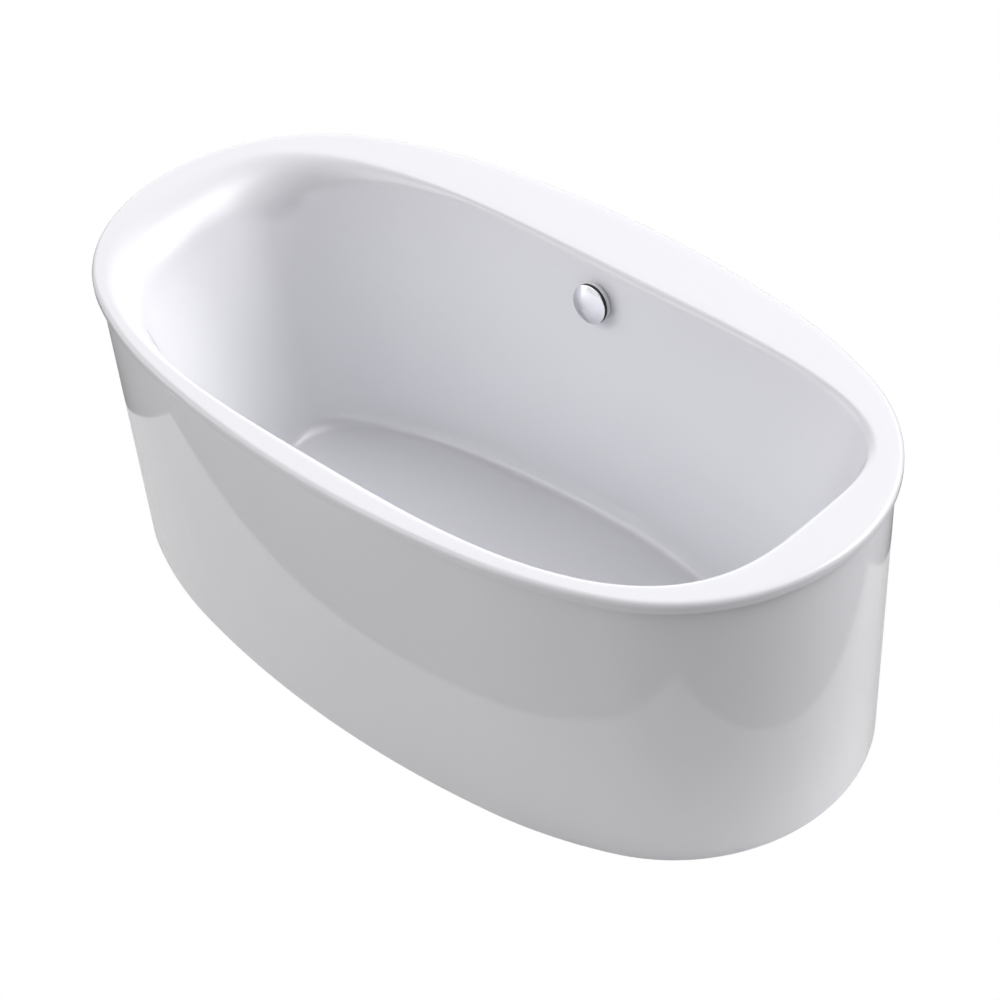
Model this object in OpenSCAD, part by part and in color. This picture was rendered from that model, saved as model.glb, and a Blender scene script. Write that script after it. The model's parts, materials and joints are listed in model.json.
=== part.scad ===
// Freestanding oval bath: an acrylic basin with a moulded rim over a separate oval skirt, standing on
// a steel underframe with levelling feet. A rotary overflow knob lifts the waste stopper by cable.
// Millimetres. The origin is on the floor, at the middle of the oval. X runs along the bath, from the
// sloping head end (-X) to the steep foot end (+X). Z is up. The wide deck and the overflow are at +Y.

/* [Rim outline] */
// Length over the rim
rim_l = 1664; // [1640:1:1700]
// Width over the rim
rim_w = 902; // [890:1:915]
// Height of the rim above the floor
bath_h = 619; // [600:1:640]
// Radius of the arc round each end
end_r = 380; // [370:1:390]
// Normal angle at which the end arc meets the corner arc
end_deg = 65; // [63:1:67]
// Normal angle at which the corner arc meets the long side's arc
corner_deg = 80; // [79:1:81]

/* [Rim section] */
// Height of the outer lip
lip_h = 20; // [16:1:24]
// Radius of the lip's upper edge
lip_r = 9; // [6:1:12]
// Thickness of the acrylic
acrylic_t = 4; // [3:0.5:5]
// Thickness of the glass-fibre backing
backing_t = 4; // [3:0.5:5]

/* [Basin] */
// Length of the opening in the deck
open_l = 1522; // [1500:1:1535]
// Offset of the opening along the bath
open_x = -9; // [-12:1:-4]
// Reach of the opening from the centre line to its far side, at the wide deck
open_far = 315; // [308:1:322]
// Reach of the opening from the centre line to its near side
open_near = 410; // [404:1:412]
// Power of the superellipse at the opening's far corner, head end
head_power = 3; // [2.8:0.1:3.3]
// Power of the superellipse at the opening's far corner, foot end
foot_power = 4.2; // [3.8:0.1:4.6]
// Power of the superellipse at the opening's two near corners
near_power = 2.9; // [2.7:0.1:3.1]
// Length of the basin floor, inside its fillet
floor_l = 1052; // [1030:1:1070]
// Offset of the basin floor along the bath
floor_x = 44; // [38:1:50]
// Reach of the basin floor from the centre line to its far side
floor_far = 192; // [185:1:198]
// Reach of the basin floor from the centre line to its near side
floor_near = 284; // [276:1:290]
// Extra reach of the basin floor at its head end
floor_head_reach = 16; // [8:1:24]
// Power of the superellipse that the floor follows, head end
floor_head_power = 2.4; // [2.2:0.1:2.6]
// Power of the superellipse that the floor follows, foot end
floor_foot_power = 2.9; // [2.7:0.1:3.1]
// Height of the basin floor at its edge
floor_z = 102; // [101:0.5:104]
// Fall of the basin floor to the waste
floor_fall = 2; // [1:0.5:3]
// Radius of the roll from deck to wall
roll_r = 18; // [15:1:22]
// Radius of the roll at the middle of the head end
head_roll_r = 100; // [85:1:110]
// Radius of the fillet between wall and floor
fillet_r = 44; // [36:1:50]

/* [Skirt] */
// Inset of the skirt from the rim outline, at its top
skirt_in_top = 10; // [9:0.5:12]
// Inset of the skirt from the rim outline, at its base
skirt_in_base = 15; // [13:0.5:17]
// Thickness of the skirt
skirt_t = 5; // [4:0.5:6]
// Gap under the skirt
skirt_gap = 2; // [1:0.5:4]

/* [Overflow] */
// Height of the overflow's centre on the wall
overflow_z = 544; // [538:1:548]
// Upward tilt of the overflow's axis
overflow_deg = 7; // [5:1:8]
// Diameter of the overflow knob
knob_d = 77; // [74:1:80]
// Height of the knob's dome
knob_dome = 8; // [7:1:10]

/* [Waste] */
// Position of the waste and the overflow along the bath
waste_x = 30; // [20:1:40]
// Position of the waste and the underframe across the bath
waste_y = -46; // [-50:1:-42]
// Diameter of the waste flange
flange_d = 70; // [66:1:74]
// Outer diameter of the waste pipes
pipe_d = 38.1; // [38.1:0.1:38.1]
// Height of the horizontal waste pipe
waste_z = 38; // [36:1:39]
// Lift of the stopper
stopper_lift = 10; // [8:1:10]

/* [Underframe] */
// Length of the two rails
rail_l = 1180; // [1120:10:1200]
// Distance between the rails' centres
rail_gap = 260; // [240:10:280]
// Width of each steel tube
tube_w = 30; // [30:1:32]
// Height of each steel tube
tube_h = 20; // [20:1:20]
// Wall of each steel tube
tube_t = 1.5; // [1.2:0.1:2]
// Length of the three cross members
cross_l = 470; // [450:10:480]
// Travel of each levelling foot
foot_travel = 15; // [10:1:15]

/* [Hidden] */

$fn = 96;
eps = 0.05;                       // overshoot of a cut through a face
around = 96;                      // points round each ring of the basin

// Colours
white = [0.95, 0.95, 0.96];
resin = [0.78, 0.76, 0.66];
chrome = [0.80, 0.81, 0.83];
steel = [0.55, 0.57, 0.60];
black = [0.08, 0.08, 0.09];
grey = [0.45, 0.46, 0.48];
birch = [0.76, 0.62, 0.42];

// ---- Rim outline: four kinds of arc that meet tangentially ----
rim_a = rim_l / 2;
rim_b = rim_w / 2;
arc_c1 = cos(end_deg);
arc_s1 = sin(end_deg);
arc_c2 = cos(corner_deg);
arc_s2 = sin(corner_deg);
arc_det = (arc_c1 - arc_c2) * (1 - arc_s2) - arc_c2 * (arc_s2 - arc_s1);
arc_x = rim_a - end_r * (1 - arc_c1);
arc_y = rim_b - end_r * arc_s1;
corner_r = (arc_x * (1 - arc_s2) - arc_c2 * arc_y) / arc_det;
side_r = ((arc_c1 - arc_c2) * arc_y - (arc_s2 - arc_s1) * arc_x) / arc_det;
end_c = [rim_a - end_r, 0];
corner_c = end_c + (end_r - corner_r) * [arc_c1, arc_s1];
side_c = corner_c + (corner_r - side_r) * [arc_c2, arc_s2];

// Point of the first quadrant of the outline, with its normal at angle deg, moved inwards by inset
function quadrant_pt(deg, inset) =
    deg < end_deg ? end_c + (end_r - inset) * [cos(deg), sin(deg)]
    : deg < corner_deg ? corner_c + (corner_r - inset) * [cos(deg), sin(deg)]
    : side_c + (side_r - inset) * [cos(deg), sin(deg)];

// The same all the way round
function rim_pt(deg, inset) =
    let (q = deg % 360, m = q < 90 ? q : q < 180 ? 180 - q : q < 270 ? q - 180 : 360 - q,
         p = quadrant_pt(m, inset))
    [q > 90 && q < 270 ? -p.x : p.x, q > 180 ? -p.y : p.y];

// Across-bath position of the outline where it passes x on a corner arc
function corner_y(x, inset) =
    corner_c.y + sqrt(pow(corner_r - inset, 2) - pow(abs(x) - corner_c.x, 2));
function corner_normal(x, inset) = acos((abs(x) - corner_c.x) / (corner_r - inset));

// Normal angle at a share s of the quadrant's length, so that the points are evenly spaced
len_end = end_r * end_deg * PI / 180;
len_corner = corner_r * (corner_deg - end_deg) * PI / 180;
len_side = side_r * (90 - corner_deg) * PI / 180;
len_quadrant = len_end + len_corner + len_side;
function quadrant_deg(s) =
    let (d = s * len_quadrant)
    d < len_end ? d / end_r * 180 / PI
    : d < len_end + len_corner ? end_deg + (d - len_end) / corner_r * 180 / PI
    : corner_deg + (d - len_end - len_corner) / side_r * 180 / PI;
function even_deg(i) =
    let (q = i * 4 / around, k = floor(q), s = q - k)
    k % 2 == 0 ? 90 * k + quadrant_deg(s) : 90 * (k + 1) - quadrant_deg(1 - s);

// ---- Basin: superellipses joined by a roll, a straight wall and a fillet ----
function oval_pt(a, b, p, t) =
    let (c = cos(t), s = sin(t), k = pow(pow(abs(c), p) + pow(abs(s), p), -1 / p))
    [a * c * k, b * s * k];
// Oval parameter that faces the outline's point i
function ring_t(i) = let (p = rim_pt(even_deg(i), 0)) atan2(p.y / rim_b, p.x / rim_a);
function open_pt(t) =
    let (far = sin(t) > 0, p = !far ? near_power : cos(t) > 0 ? foot_power : head_power)
    [open_x, 0] + oval_pt(open_l / 2, far ? open_far : open_near, p, t);
function floor_pt(t) =
    let (head = cos(t) < 0, a = floor_l / 2 + (head ? floor_head_reach : 0))
    let (b = sin(t) > 0 ? floor_far : floor_near, p = head ? floor_head_power : floor_foot_power)
    [floor_x, 0] + oval_pt(a, b, p, t);
// The roll grows smoothly towards the head end, between two shares of the way there
function roll_at(t) =
    let (s = max(0, min(1, (-cos(t) - roll_grows[0]) / (roll_grows[1] - roll_grows[0]))))
    roll_r + (head_roll_r - roll_r) * s * s * (3 - 2 * s);
// Angle of the straight wall from vertical
function wall_deg(t) =
    let (d = norm(floor_pt(t) - open_pt(t)), r = roll_at(t) + fillet_r, h = bath_h - floor_z - r)
    acos(r / norm([d, h])) - atan2(h, d);
// A point u inwards from the opening's edge at height z
function wall_pt(t, u, z) =
    let (o = open_pt(t), f = floor_pt(t), p = o + (f - o) * u / norm(f - o)) [p.x, p.y, z];
// The roll and the fillet, at share s of their turn, off below the basin's own surface
function roll_pt(t, s, off) =
    let (a = (90 - wall_deg(t)) * s, r = roll_at(t))
    wall_pt(t, (r - off) * sin(a), bath_h - r + (r - off) * cos(a));
function fillet_pt(t, s, off) =
    let (a = (90 - wall_deg(t)) * s, d = norm(floor_pt(t) - open_pt(t)), r = fillet_r + off)
    wall_pt(t, d - r * sin(a), floor_z + fillet_r - r * cos(a));

deck_t = acrylic_t + backing_t;
lay_gap = 0.05;                   // between the acrylic and its backing
roll_grows = [0.35, 0.95];        // where the roll starts and stops growing, as shares of the head half
hub_r = 60;                       // radius of the level ring round the waste
drain = [waste_x, waste_y];
hub_z = floor_z - floor_fall;

function rim_ring(inset, z) =
    [for (i = [0 : around - 1]) let (p = rim_pt(even_deg(i), inset)) [p.x, p.y, z]];
function roll_ring(s, off) = [for (i = [0 : around - 1]) roll_pt(ring_t(i), s, off)];
function fillet_ring(s, off) = [for (i = [0 : around - 1]) fillet_pt(ring_t(i), s, off)];
function hub_ring(z) =
    [for (i = [0 : around - 1]) let (t = ring_t(i)) [drain.x + hub_r * cos(t), drain.y + hub_r * sin(t), z]];

// The basin's skin at one depth, from the waste up to the deck
function bowl_rings(off) = concat(
    [hub_ring(hub_z - off)],
    [for (s = [0 : 1 / 3 : 1.01]) fillet_ring(s, off)],
    [for (s = [1 : -1 / 4 : -0.01]) roll_ring(s, off)]);
function reversed(v) = [for (i = [len(v) - 1 : -1 : 0]) v[i]];

// A closed solid through a list of rings; the first and last rings are its two flat ends.
// Each cell is split from its lower ring's first point, so that skins on either side of a face agree.
module skin(rings) {
    n = around;
    m = len(rings);
    points = [for (r = rings) each r];
    sides = [for (k = [0 : m - 2], i = [0 : n - 1])
        let (j = (i + 1) % n, a = k * n + i, b = a + n, c = (k + 1) * n + j, d = k * n + j)
        each rings[k][i].z > rings[k + 1][i].z ? [[a, b, d], [b, c, d]] : [[a, b, c], [a, c, d]]];
    first = [for (i = [0 : n - 1]) i];
    last = [for (i = [n - 1 : -1 : 0]) (m - 1) * n + i];
    polyhedron(points = points, faces = concat(sides, [first, last]), convexity = 10);
}

// ---- Overflow frame: local +Z points into the bath along the knob's axis ----
far_deg = wall_deg(90);
far_roll_r = roll_at(90);
far_skew = (open_far - floor_far) / norm(floor_pt(90) - open_pt(90));
far_drop = bath_h - overflow_z - far_roll_r * (1 - sin(far_deg));
overflow_y = open_far - far_skew * (far_roll_r * cos(far_deg) + far_drop * tan(far_deg));
wall_slant = atan(far_skew * tan(far_deg)) - overflow_deg;
wall_t = deck_t / norm([cos(far_deg) / far_skew, sin(far_deg)]);
module at_overflow() {
    translate([waste_x, overflow_y, overflow_z]) rotate([90 - overflow_deg, 0, 0]) children();
}
wall_hole_r = 26;
module overflow_hole() {
    at_overflow() translate([0, 0, -40]) cylinder(r = wall_hole_r, h = 80);
}

// ---- Waste sizes ----
drain_hole_r = 24;
pipe_r = pipe_d / 2;
pipe_t = 1.5;
socket_r = pipe_r + 0.1;
socket_wall_r = pipe_r + 5;
socket_l = 22;
column_back = 40;                 // distance of the overflow pipe behind the wall's surface
column_y = overflow_y + column_back * cos(overflow_deg);
column_z = overflow_z - column_back * sin(overflow_deg);
outlet_end_z = column_z - 60;
tee_top_z = waste_z + 46;
tee_low_z = waste_z - 24;
branch_end_y = column_y - 50;
shoe_out_y = drain.y + 62;
under_z = hub_z - deck_t;         // underside of the backing round the waste
nut_l = 12;
washer_l = 2;

// ---- Overflow sizes, along its local axis ----
seat_z = 6;                       // front of the front gasket
ring_top_z = 16;
knob_rim_z = 19;
body_face_z = -16;                // rear gasket's back, where the body starts
body_back_z = -58;
body_r = 29;
spindle_r = 5;
run_gap = 0.06;                   // radial clearance of a running fit
seal_gap = 0.45;                  // between a gasket's flat face and the wall's middle

// ---- Stopper and rocker ----
stem_r = 4;
stem_low_z = 46.5;
stopper_z = hub_z + 4.8;          // underside of the stopper's seal
rocker_arm = 14;
rocker_z = stem_low_z + 1.5;
rocker_rest_deg = asin(stopper_lift / 2 / rocker_arm);
rocker_y = drain.y - rocker_arm;

// ---- Underframe levels ----
board_t = 12;
board_z = under_z - board_t;
rail_z = board_z - tube_h;
cross_z = rail_z - tube_h;
cross_x = [-440, 160, 540];
foot_out = 205;
feet = [
    [cross_x[0], waste_y - foot_out], [cross_x[0], waste_y + foot_out],
    [cross_x[2], waste_y - foot_out], [cross_x[2], waste_y + foot_out], [cross_x[1], waste_y]
];
stud_r = 6;
nut_h = 8;
pad_h = 7;
pad_r = 25;
boss_h = 16;
stiffener_z = [12, 52];
stiffener_t = 15;
strip_gap = 4;                    // between the stiffener's strips
glue_gap = 0.3;
function skirt_inset(z) = skirt_in_top + (skirt_in_base - skirt_in_top) * (skirt_top_z - z) / skirt_top_z;
skirt_top_z = bath_h - deck_t - 2;
strap_t = 3;

// Sweeps a section round the outline. The section is a list of [inset, z]. A gap parts it into strips.
module oval_sweep(section, gap = 0) {
    module arc(c, r, from, to, strips = 1) {
        n = gap > 0 ? strips : 1;
        span = (to - from) / n;
        cut = gap / r * 90 / PI;
        for (k = [0 : n - 1]) translate([c.x, c.y, 0])
            rotate_extrude(start = from + k * span + cut, angle = span - 2 * cut, $fn = 180)
                polygon([for (p = section) [r - p[0], p[1]]]);
    }
    for (side = [0, 1]) rotate([0, 0, 180 * side]) {
        arc(end_c, end_r, -end_deg, end_deg, 4);
        arc(corner_c, corner_r, end_deg, corner_deg);
        arc(side_c, side_r, corner_deg, 180 - corner_deg, 2);
        arc([-corner_c.x, corner_c.y], corner_r, 180 - corner_deg, 180 - end_deg);
    }
}

// ---- Shells ----
module basin_shell() {
    rim = [
        rim_ring(lip_r, bath_h),
        rim_ring(lip_r * (1 - sin(30)), bath_h - lip_r * (1 - cos(30))),
        rim_ring(lip_r * (1 - sin(60)), bath_h - lip_r * (1 - cos(60))),
        rim_ring(0, bath_h - lip_r),
        rim_ring(0, bath_h - lip_h),
        rim_ring(acrylic_t, bath_h - lip_h),
        rim_ring(acrylic_t, bath_h - acrylic_t)
    ];
    color(white) difference() {
        skin(concat(bowl_rings(0), rim, reversed(bowl_rings(acrylic_t))));
        overflow_hole();
        translate([drain.x, drain.y, 0]) cylinder(r = drain_hole_r, h = floor_z + 20);
    }
}

module backing_shell() {
    edge = acrylic_t + 2;
    top = acrylic_t + lay_gap;
    rim = [rim_ring(edge, bath_h - top), rim_ring(edge, bath_h - deck_t)];
    color(resin) difference() {
        skin(concat(bowl_rings(top), rim, reversed(bowl_rings(deck_t))));
        overflow_hole();
        translate([drain.x, drain.y, 0]) cylinder(r = drain_hole_r, h = floor_z + 20);
    }
}

module skirt() {
    color(white) oval_sweep([
        [skirt_in_top, skirt_top_z], [skirt_inset(skirt_gap), skirt_gap],
        [skirt_inset(skirt_gap) + skirt_t, skirt_gap], [skirt_in_top + skirt_t, skirt_top_z]
    ]);
}

module skirt_stiffener() {
    in = skirt_t + glue_gap;
    color(birch) oval_sweep([
        [skirt_inset(stiffener_z[1]) + in, stiffener_z[1]],
        [skirt_inset(stiffener_z[0]) + in, stiffener_z[0]],
        [skirt_inset(stiffener_z[0]) + in + stiffener_t, stiffener_z[0]],
        [skirt_inset(stiffener_z[0]) + in + stiffener_t, stiffener_z[1]]
    ], strip_gap);
}

// Adhesive between the skirt's top edge and the underside of the deck
module rim_bead() {
    color(grey) oval_sweep([
        [skirt_in_top, bath_h - deck_t], [skirt_in_top, skirt_top_z],
        [skirt_in_top + skirt_t, skirt_top_z], [skirt_in_top + skirt_t, bath_h - deck_t]
    ]);
}

// ---- Underframe ----
board_l = 860;
board_w = 340;
screw_x = [-340, -200, 260, 400];
module base_board() {
    color(birch) difference() {
        translate([floor_x, waste_y, board_z]) linear_extrude(board_t)
            square([board_l, board_w], center = true);
        translate([drain.x, drain.y, board_z - 1]) cylinder(r = 42, h = board_t + 2);
        for (x = screw_x, y = [-1, 1]) translate([x, waste_y + y * rail_gap / 2, board_z - 1])
            cylinder(r = 2.5 + eps, h = 9 + eps, $fn = 32);
    }
}

// Rectangular tube along X
module tube(l) {
    difference() {
        translate([-l / 2, -tube_w / 2, 0]) cube([l, tube_w, tube_h]);
        translate([-l / 2 - 1, -tube_w / 2 + tube_t, tube_t])
            cube([l + 2, tube_w - 2 * tube_t, tube_h - 2 * tube_t]);
    }
}

module rail(side) {
    color(steel) difference() {
        translate([floor_x, waste_y + side * rail_gap / 2, rail_z]) tube(rail_l);
        for (x = screw_x) translate([x, waste_y + side * rail_gap / 2, rail_z - 1])
            cylinder(r = 2.7, h = tube_h + 2, $fn = 32);
    }
}

module cross_member(k) {
    color(steel) difference() {
        translate([cross_x[k], waste_y, cross_z]) rotate([0, 0, 90]) tube(cross_l);
        for (p = feet) if (p.x == cross_x[k])
            translate([p.x, p.y, cross_z - 1]) cylinder(r = stud_r + 0.5, h = tube_t + 2, $fn = 48);
    }
}

// Push-in plastic plugs in the ends of the five tubes
module tube_plugs() {
    plug_l = 10;
    w = tube_w - 2 * tube_t;
    h = tube_h - 2 * tube_t;
    color(black) {
        for (side = [-1, 1], end = [-1, 1])
            translate([floor_x + end * (rail_l - plug_l) / 2, waste_y + side * rail_gap / 2,
                       rail_z + tube_h / 2])
                cube([plug_l, w, h], center = true);
        for (x = cross_x, end = [-1, 1])
            translate([x, waste_y + end * (cross_l - plug_l) / 2, cross_z + tube_h / 2])
                cube([w, plug_l, h], center = true);
    }
}

module board_screws() {
    color(steel) for (x = screw_x, y = [-1, 1])
        translate([x, waste_y + y * rail_gap / 2, rail_z]) {
            translate([0, 0, -3]) cylinder(r = 5, h = 3, $fn = 48);
            cylinder(r = 2.5, h = tube_h + 7, $fn = 32);
        }
}

// A nut round a foot's stud
module nut(bottom_z) {
    for (p = feet) translate([p.x, p.y, bottom_z]) difference() {
        cylinder(r = 11, h = nut_h, $fn = 6);
        translate([0, 0, -1]) cylinder(r = stud_r + run_gap, h = nut_h + 2, $fn = 64);
    }
}
module weld_nuts() {
    color(steel) nut(cross_z - nut_h);
}
module jam_nuts() {
    color(steel) nut(cross_z - 2 * nut_h);
}

module foot_pad(k) {
    color(black) translate([feet[k].x, feet[k].y, 0]) difference() {
        union() {
            cylinder(r1 = pad_r, r2 = pad_r - 2, h = pad_h);
            cylinder(r = 12, h = boss_h);
        }
        translate([0, 0, 4]) cylinder(r = stud_r + 0.02, h = boss_h, $fn = 64);
    }
}

module foot_stud(k) {
    color(steel) translate([feet[k].x, feet[k].y, 4])
        cylinder(r = stud_r, h = cross_z - 4 + foot_travel, $fn = 64);
}

// Straps from the ends of the head and foot cross members to the stiffener
strap_w = 30;
tab_h = 12;
function strap_inset() = skirt_inset(stiffener_z[0]) + skirt_t + glue_gap + stiffener_t + 1;
module each_strap() {
    for (k = [0, 2], side = [-1, 1]) {
        x = cross_x[k];
        y = side * corner_y(x, strap_inset());
        turn = (90 - corner_normal(x, strap_inset())) * (x < 0 ? side : -side);
        translate([x, y, cross_z - strap_t]) rotate([0, 0, side > 0 ? 0 : 180])
            strap_frame(abs(y - waste_y) - cross_l / 2 + 12, turn) children();
    }
}
module strap_frame(reach, turn) {
    $reach = reach;
    $turn = turn;
    children();
}
module skirt_brackets() {
    color(steel) each_strap() difference() {
        union() {
            translate([-strap_w / 2, -$reach, 0]) cube([strap_w, $reach - 7, strap_t]);
            rotate([0, 0, $turn]) translate([-strap_w / 2, -strap_t, 0]) cube([strap_w, strap_t, tab_h]);
            translate([-10, -14, 0]) cube([20, 12, strap_t]);
        }
        translate([0, -$reach + 6, -1]) cylinder(r = 2.7, h = strap_t + 2, $fn = 32);
        rotate([0, 0, $turn]) translate([0, 1, tab_h / 2 + 1.5]) rotate([90, 0, 0])
            cylinder(r = 2.2, h = strap_t + 2, $fn = 32);
    }
}
module bracket_screws() {
    color(chrome) each_strap() {
        translate([0, -$reach + 6, -2.5]) cylinder(r = 5, h = 2.5, $fn = 32);
        translate([0, -$reach + 6, -2.5]) cylinder(r = 2.5, h = strap_t + 2.5, $fn = 32);
        rotate([0, 0, $turn]) translate([0, -strap_t, tab_h / 2 + 1.5]) rotate([90, 0, 0])
            cylinder(r = 3.5, h = 2, $fn = 32);
        rotate([0, 0, $turn]) translate([0, 0.5, tab_h / 2 + 1.5]) rotate([90, 0, 0])
            cylinder(r = 2, h = strap_t + 0.5, $fn = 32);
    }
}

// ---- Waste ----
module at_drain(z) {
    translate([drain.x, drain.y, z]) children();
}
throat_r = drain_hole_r - 1;
throat_in_r = 20;
flange_z = hub_z + 1.5;
web_z = hub_z - 16;

module drain_flange() {
    color(chrome) at_drain(0) difference() {
        union() {
            translate([0, 0, flange_z]) cylinder(r1 = flange_d / 2, r2 = flange_d / 2 - 2, h = 3);
            translate([0, 0, hub_z - 34]) cylinder(r = throat_r, h = flange_z - hub_z + 35);
        }
        translate([0, 0, web_z + 6]) cylinder(r = throat_in_r, h = 40);
        translate([0, 0, hub_z - 40]) cylinder(r = throat_in_r, h = 40 + web_z - hub_z);
        difference() {
            translate([0, 0, web_z - eps]) cylinder(r = throat_in_r, h = 6 + 2 * eps);
            translate([0, 0, web_z - 1]) cylinder(r = 7, h = 8, $fn = 48);
            for (a = [0, 90]) rotate([0, 0, a + 45]) translate([-25, -1.5, web_z - 1]) cube([50, 3, 8]);
        }
        translate([0, 0, web_z - 2]) cylinder(r = stem_r + run_gap, h = 10, $fn = 64);
    }
}

module ring_solid(r_out, r_in, h) {
    difference() {
        cylinder(r = r_out, h = h);
        translate([0, 0, -1]) cylinder(r = r_in, h = h + 2);
    }
}

module drain_gasket() {
    color(black) at_drain(hub_z) ring_solid(flange_d / 2 - 1, throat_r + 0.2, flange_z - hub_z);
}
module shoe_gasket() {
    color(black) at_drain(under_z - 3) ring_solid(33, throat_r + 0.4, 3);
}

shoe_r = 29;
cavity_r = 25;
shoe_low_z = 14;
boss_r = 5;
gland_z = 55;
module drain_shoe() {
    neck_r = throat_r + 0.1;
    neck_z = hub_z - 36;
    color(grey) difference() {
        union() {
            at_drain(under_z - 8) cylinder(r = 33, h = 5);
            at_drain(shoe_low_z) cylinder(r = shoe_r, h = under_z - 8 - shoe_low_z + 1);
            translate([drain.x, drain.y, waste_z]) rotate([-90, 0, 0])
                cylinder(r = socket_wall_r, h = shoe_out_y - drain.y);
        }
        at_drain(neck_z - 1) cylinder(r = neck_r, h = 60);
        difference() {
            at_drain(shoe_low_z + 3) cylinder(r = cavity_r, h = neck_z - shoe_low_z - 3);
            for (side = [-1, 1]) translate([drain.x + side * 5.5, rocker_y, rocker_z])
                rotate([0, side * 90, 0]) cylinder(r = boss_r, h = 20, $fn = 48);
        }
        translate([drain.x - 21, rocker_y, rocker_z]) rotate([0, 90, 0])
            cylinder(r = 2.02, h = 42, $fn = 48);
        translate([drain.x, drain.y, waste_z]) rotate([-90, 0, 0])
            cylinder(r = pipe_r - pipe_t, h = shoe_out_y - drain.y + 1);
        translate([drain.x, shoe_out_y - socket_l, waste_z]) rotate([-90, 0, 0])
            cylinder(r = socket_r, h = socket_l + 1);
        translate([drain.x + 20, drain.y, gland_z]) rotate([0, 90, 0]) cylinder(r = 3, h = 20, $fn = 32);
    }
}

module stopper_cap() {
    cap_r = 27;
    dome = 3;
    dome_r = (pow(cap_r, 2) + pow(dome, 2)) / (2 * dome);
    color(chrome) at_drain(stopper_z + 1.7) {
        cylinder(r = cap_r, h = 1.5);
        translate([0, 0, 1.5]) intersection() {
            translate([0, 0, dome - dome_r]) sphere(r = dome_r, $fn = 180);
            cylinder(r = cap_r, h = dome + 1);
        }
    }
}
module stopper_seal() {
    color(black) at_drain(stopper_z) ring_solid(23, stem_r + 0.02, 1.7);
}
module stopper_stem() {
    color(chrome) at_drain(stem_low_z) cylinder(r = stem_r, h = stopper_z + 1.7 - stem_low_z, $fn = 64);
}

// Rocker in the shoe: the cable pulls its short arm and its long arm lifts the stem
module lift_rocker() {
    half_w = 5;
    color(chrome) translate([drain.x, rocker_y, rocker_z]) rotate([-rocker_rest_deg, 0, 0])
        difference() {
            union() {
                translate([-half_w, 0, 0]) rotate([0, 90, 0]) cylinder(r = 4.5, h = 2 * half_w, $fn = 48);
                translate([-half_w, 0, -2]) cube([2 * half_w, rocker_arm, 4]);
                translate([-half_w, rocker_arm, 0]) rotate([0, 90, 0])
                    cylinder(r = 3, h = 2 * half_w, $fn = 48);
                translate([-2, -7, -1.5]) cube([4, 7, 3]);
            }
            translate([-half_w - 1, 0, 0]) rotate([0, 90, 0])
                cylinder(r = 2 + run_gap, h = 2 * half_w + 2, $fn = 48);
        }
}
module rocker_pin() {
    color(steel) translate([drain.x - 20, rocker_y, rocker_z]) rotate([0, 90, 0])
        cylinder(r = 2, h = 40, $fn = 48);
}

module pipe(l) {
    difference() {
        cylinder(r = pipe_r, h = l);
        translate([0, 0, -1]) cylinder(r = pipe_r - pipe_t, h = l + 2);
    }
}
module drain_pipe() {
    y0 = shoe_out_y - socket_l + 2;
    color(grey) translate([drain.x, y0, waste_z]) rotate([-90, 0, 0])
        pipe(branch_end_y + socket_l - 2 - y0);
}
module overflow_pipe() {
    z0 = tee_top_z - socket_l + 2;
    color(grey) translate([waste_x, column_y, z0]) pipe(outlet_end_z + socket_l - 2 - z0);
}
tail_low_z = 2;
collar_h = 2;                     // stop collar under the tee
module tailpiece() {
    color(grey) translate([waste_x, column_y, 0]) difference() {
        union() {
            translate([0, 0, tail_low_z]) cylinder(r = pipe_r, h = tee_low_z + 16 - tail_low_z);
            translate([0, 0, tee_low_z - collar_h]) cylinder(r = pipe_r + 2, h = collar_h);
        }
        cylinder(r = pipe_r - pipe_t, h = 60);
    }
}

module waste_tee() {
    bore_r = pipe_r - pipe_t;
    color(grey) difference() {
        union() {
            translate([waste_x, column_y, tee_low_z]) cylinder(r = socket_wall_r, h = tee_top_z - tee_low_z);
            translate([waste_x, branch_end_y, waste_z]) rotate([-90, 0, 0])
                cylinder(r = socket_wall_r, h = column_y - branch_end_y);
        }
        translate([waste_x, column_y, tee_low_z - 1]) cylinder(r = bore_r, h = tee_top_z - tee_low_z + 2);
        translate([waste_x, branch_end_y - 1, waste_z]) rotate([-90, 0, 0])
            cylinder(r = bore_r, h = column_y - branch_end_y + 1);
        translate([waste_x, column_y, tee_top_z - socket_l]) cylinder(r = socket_r, h = socket_l + 1);
        translate([waste_x, column_y, tee_low_z - 1]) cylinder(r = socket_r, h = 17);
        translate([waste_x, branch_end_y - 1, waste_z]) rotate([-90, 0, 0])
            cylinder(r = socket_r, h = socket_l + 1);
    }
}

// The four ends where a pipe leaves a socket: local +Z runs along the pipe, out of the socket
module each_socket_end() {
    translate([drain.x, shoe_out_y, waste_z]) rotate([-90, 0, 0]) children();
    translate([waste_x, branch_end_y, waste_z]) rotate([90, 0, 0]) children();
    translate([waste_x, column_y, tee_top_z]) children();
    translate([waste_x, column_y, outlet_end_z]) rotate([180, 0, 0]) children();
}
module slip_washers() {
    color(white) each_socket_end() ring_solid(socket_wall_r - 1, pipe_r + 0.05, washer_l);
}
module slip_nuts() {
    color(black) each_socket_end() translate([0, 0, washer_l]) difference() {
        cylinder(r = socket_wall_r + 3, h = nut_l, $fn = 8);
        translate([0, 0, -1]) cylinder(r = pipe_r + 0.15, h = nut_l + 2);
    }
}

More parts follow.
